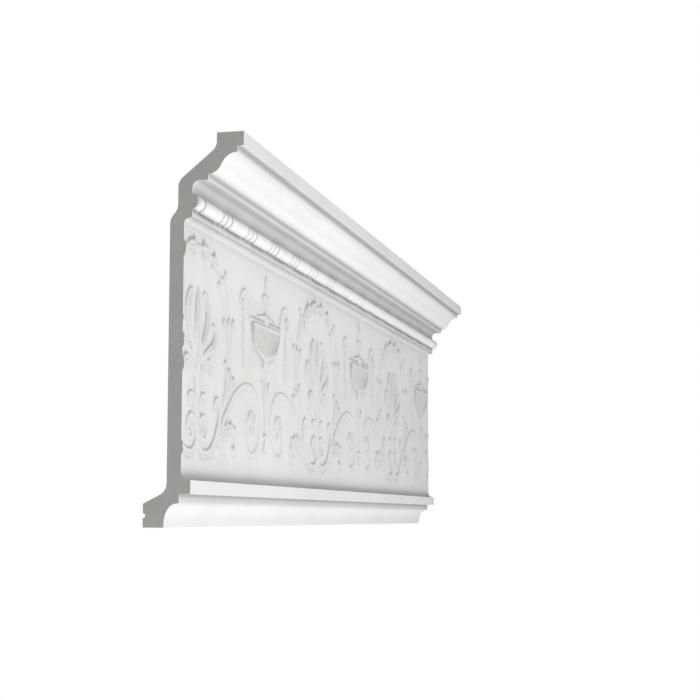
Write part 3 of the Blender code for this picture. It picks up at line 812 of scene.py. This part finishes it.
def build_length():
    """The whole length as one closed mesh."""
    field = carving_field()
    skin = Skin(field)
    lower = lower_run()
    first = skin.grow(None, lower[:1], PRIMER)
    last = skin.grow(first, lower[1:], PRIMER)
    last = skin.pass_frieze(last)
    last = skin.grow(last, collar_run(), PRIMER)
    last = skin.thread(last)
    last = skin.grow(last, crown_run(), PRIMER)
    last = skin.grow(last, back_run(), BACK)
    skin.close(last, first)
    mesh = bpy.data.meshes.new("cornice_surface")
    mesh.from_pydata([(x * MM, y * MM, (z - ORIGIN_UP) * MM) for x, y, z in skin.verts], [], skin.faces)
    mesh.polygons.foreach_set("material_index", skin.materials)
    # Masks for the primer: painted shade on the carving's steep sides, and the carving's height, by which
    # raised forms are tinted a shade darker
    slopes = np.hypot(*np.gradient(field, ROW_PITCH, PITCH))
    write_attribute(mesh, "steep", np.clip(carving_at(slopes, skin.carved) / STEEP, 0, 1))
    write_attribute(mesh, "raised", np.clip(carving_at(field, skin.carved) / RELIEF, 0, 1))
    mesh.update()
    return mesh


def finished(mesh):
    """Smooth shading that keeps the flats flat and the arrises crisp."""
    mesh.shade_smooth()
    mesh.set_sharp_from_angle(angle=SHARP_ANGLE)
    piece = bpy.data.objects.new("cornice_surface", mesh)
    bpy.context.scene.collection.objects.link(piece)
    weight = piece.modifiers.new("weight", "WEIGHTED_NORMAL")
    weight.mode = "FACE_AREA_WITH_ANGLE"
    weight.keep_sharp = True
    weight.weight = 50
    return piece


# Materials


def noise(tree, place, scale, detail, roughness=0.5):
    node = tree.nodes.new("ShaderNodeTexNoise")
    node.inputs["Scale"].default_value = scale
    node.inputs["Detail"].default_value = detail
    node.inputs["Roughness"].default_value = roughness
    tree.links.new(place, node.inputs["Vector"])
    return node.outputs["Fac"]


def ramp(tree, factor, low, high):
    """A tint that runs from one grey to another over the middle of the factor's range."""
    node = tree.nodes.new("ShaderNodeValToRGB")
    for element, position, colour in zip(node.color_ramp.elements, (0.3, 0.7), (low, high)):
        element.position = position
        element.color = (*colour, 1)
    tree.links.new(factor, node.inputs["Fac"])
    return node.outputs["Color"]


def remap(tree, factor, low, high, start=0.0):
    """The factor's range from start to 1, stretched to run from low to high."""
    node = tree.nodes.new("ShaderNodeMapRange")
    node.inputs["From Min"].default_value = start
    node.inputs["To Min"].default_value = low
    node.inputs["To Max"].default_value = high
    tree.links.new(factor, node.inputs["Value"])
    return node.outputs["Result"]


def bump(tree, height, strength, distance, under=None):
    node = tree.nodes.new("ShaderNodeBump")
    node.inputs["Strength"].default_value = strength
    node.inputs["Distance"].default_value = distance
    tree.links.new(height, node.inputs["Height"])
    if under:
        tree.links.new(under, node.inputs["Normal"])
    return node.outputs["Normal"]


def new_material(name):
    material = bpy.data.materials.new(name)
    material.use_nodes = True
    tree = material.node_tree
    place = tree.nodes.new("ShaderNodeTexCoord").outputs["Object"]
    return material, tree, tree.nodes["Principled BSDF"], place


def openness(tree, reach):
    """How open the surface lies to its surroundings within a short reach, up to 1."""
    node = tree.nodes.new("ShaderNodeAmbientOcclusion")
    node.samples = 4
    node.inputs["Distance"].default_value = reach
    return node.outputs["AO"]


def attribute(tree, name):
    node = tree.nodes.new("ShaderNodeAttribute")
    node.attribute_name = name
    return node.outputs["Fac"]


def shaded(tree, tint, share):
    node = tree.nodes.new("ShaderNodeMix")
    node.data_type = "RGBA"
    node.blend_type = "MULTIPLY"
    node.inputs["Factor"].default_value = 1.0
    tree.links.new(tint, node.inputs["A"])
    tree.links.new(share, node.inputs["B"])
    return node.outputs["Result"]


def primer():
    """Matt white primer: faint clouding, an eggshell stipple, painted shade in recesses and on the carving's
    steep sides, and raised carving a shade darker.
    """
    material, tree, shader, place = new_material("primer_white")
    tint = ramp(tree, noise(tree, place, 9.0, 3.0, 0.55), (0.800, 0.798, 0.795), (0.850, 0.850, 0.848))
    # Painted shade: the primer's colour darkens where ambient occlusion finds the surface hemmed in within
    # each reach
    for reach, darkest in ((0.028, 0.58), (0.009, 0.70), (0.0035, 0.70)):
        tint = shaded(tree, tint, remap(tree, openness(tree, reach), darkest, 1.0, start=0.45))
    # Painted shade on the carving's steep sides, then raised forms tinted a shade darker
    tint = shaded(tree, tint, remap(tree, attribute(tree, "steep"), 1.0, 0.68))
    tint = shaded(tree, tint, remap(tree, attribute(tree, "raised"), 1.0, 0.95))
    tree.links.new(tint, shader.inputs["Base Color"])
    tree.links.new(remap(tree, noise(tree, place, 60.0, 2.0), 0.52, 0.62), shader.inputs["Roughness"])
    shader.inputs["Specular IOR Level"].default_value = 0.35
    eggshell = bump(tree, noise(tree, place, 420.0, 2.0), 0.18, 0.0003)
    stipple = bump(tree, noise(tree, place, 1500.0, 2.0, 0.6), 0.10, 0.0001, eggshell)
    tree.links.new(stipple, shader.inputs["Normal"])
    return material


def sawn_face():
    """Dense grey foam laid bare by the saw: faint clouding and fine cells."""
    material, tree, shader, place = new_material("sawn_foam")
    tint = ramp(tree, noise(tree, place, 70.0, 4.0, 0.6), (0.490, 0.490, 0.485), (0.535, 0.535, 0.528))
    tree.links.new(tint, shader.inputs["Base Color"])
    shader.inputs["Roughness"].default_value = 0.88
    shader.inputs["Specular IOR Level"].default_value = 0.15
    cells = tree.nodes.new("ShaderNodeTexVoronoi")
    cells.inputs["Scale"].default_value = 1600.0
    tree.links.new(place, cells.inputs["Vector"])
    tree.links.new(bump(tree, cells.outputs["Distance"], 0.25, 0.0002), shader.inputs["Normal"])
    return material


def moulded_back():
    """The back as it leaves the mould: the same foam's pale skin, uneven and unprimed."""
    material, tree, shader, place = new_material("moulded_back")
    tint = ramp(tree, noise(tree, place, 22.0, 5.0, 0.6), (0.600, 0.595, 0.575), (0.690, 0.685, 0.668))
    tree.links.new(tint, shader.inputs["Base Color"])
    tree.links.new(remap(tree, noise(tree, place, 120.0, 3.0), 0.6, 0.8), shader.inputs["Roughness"])
    shader.inputs["Specular IOR Level"].default_value = 0.25
    tree.links.new(bump(tree, noise(tree, place, 300.0, 4.0, 0.65), 0.3, 0.0004), shader.inputs["Normal"])
    return material


def pale_floor():
    material, tree, shader, place = new_material("pale_floor")
    tint = ramp(tree, noise(tree, place, 2.0, 2.0), (0.84, 0.84, 0.84), (0.86, 0.86, 0.86))
    tree.links.new(tint, shader.inputs["Base Color"])
    shader.inputs["Roughness"].default_value = 0.9
    shader.inputs["Specular IOR Level"].default_value = 0.1
    return material


# The studio: a white backdrop, a dim even surround, a broad panel low in front and one high behind

SURROUND = 0.25
FLOOR_UP = -1.9
FLOOR_HALF = 12.0
MIDDLE = (0.0, -0.03, 0.15)
PANEL_FROM = (-0.36, -0.78, -0.48)
PANEL_AWAY = 1.9
PANEL_SIZE = (2.2, 2.2)
PANEL_POWER = 38.5
OVERHEAD = (0.0, 2.5, 6.0)
OVERHEAD_AIM = (0.0, 0.5, FLOOR_UP)
OVERHEAD_SIZE = (6.0, 6.0)
OVERHEAD_POWER = 420.0


def area_light(name, location, target, size, power):
    light = bpy.data.lights.new(name, "AREA")
    light.shape = "RECTANGLE"
    light.size, light.size_y = size
    light.energy = power
    lamp = bpy.data.objects.new(name, light)
    lamp.location = location
    lamp.rotation_euler = (Vector(target) - Vector(location)).to_track_quat("-Z", "Y").to_euler()
    lamp.visible_camera = False
    bpy.context.scene.collection.objects.link(lamp)


def build_floor():
    mesh = bpy.data.meshes.new("floor")
    shape = bmesh.new()
    bmesh.ops.create_grid(shape, x_segments=8, y_segments=8, size=FLOOR_HALF)
    shape.to_mesh(mesh)
    shape.free()
    mesh.materials.append(pale_floor())
    floor = bpy.data.objects.new("floor", mesh)
    floor.location = (0.0, 0.0, FLOOR_UP)
    bpy.context.scene.collection.objects.link(floor)


def studio():
    build_floor()
    world = bpy.data.worlds.new("studio")
    world.use_nodes = True
    tree = world.node_tree
    seen = tree.nodes.new("ShaderNodeLightPath").outputs["Is Camera Ray"]
    tree.links.new(remap(tree, seen, SURROUND, 1.0), tree.nodes["Background"].inputs["Strength"])
    tree.nodes["Background"].inputs["Color"].default_value = (1.0, 1.0, 1.0, 1.0)
    bpy.context.scene.world = world
    panel = Vector(MIDDLE) + Vector(PANEL_FROM).normalized() * PANEL_AWAY
    area_light("panel", panel, MIDDLE, PANEL_SIZE, PANEL_POWER)
    area_light("overhead", OVERHEAD, OVERHEAD_AIM, OVERHEAD_SIZE, OVERHEAD_POWER)


# The camera: its lens, its place, and how far it turns from the length's run towards the wall,
# looks up and leans

SENSOR = 36.0
LENS = 81.1
EYE = (-1.7498, -0.4517, 0.0047)
YAW = math.radians(13.192)
LOOK_UP = math.radians(6.059)
ROLL = math.radians(0.098)


def camera():
    lens = bpy.data.cameras.new("camera")
    lens.sensor_width = SENSOR
    lens.lens = LENS
    lens.clip_start = 0.01
    lens.clip_end = 100.0
    eye = bpy.data.objects.new("camera", lens)
    reach = math.cos(LOOK_UP)
    forward = Vector((math.cos(YAW) * reach, math.sin(YAW) * reach, math.sin(LOOK_UP)))
    right = Vector((math.sin(YAW), -math.cos(YAW), 0.0))
    up = right.cross(forward)
    level = right * math.cos(ROLL) + up * math.sin(ROLL)
    upright = up * math.cos(ROLL) - right * math.sin(ROLL)
    turn = Matrix((level, upright, -forward)).transposed()
    eye.matrix_world = Matrix.Translation(EYE) @ turn.to_4x4()
    bpy.context.scene.collection.objects.link(eye)
    bpy.context.scene.camera = eye


def main():
    surface = build_length()
    for material in (primer(), sawn_face(), moulded_back()):
        surface.materials.append(material)
    piece = finished(surface)
    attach(piece, "root")
    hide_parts("cornice_length")
    studio()
    camera()
    bpy.context.scene.view_settings.view_transform = "Standard"
    print("triangles", sum(len(face.vertices) - 2 for face in surface.polygons))


main()
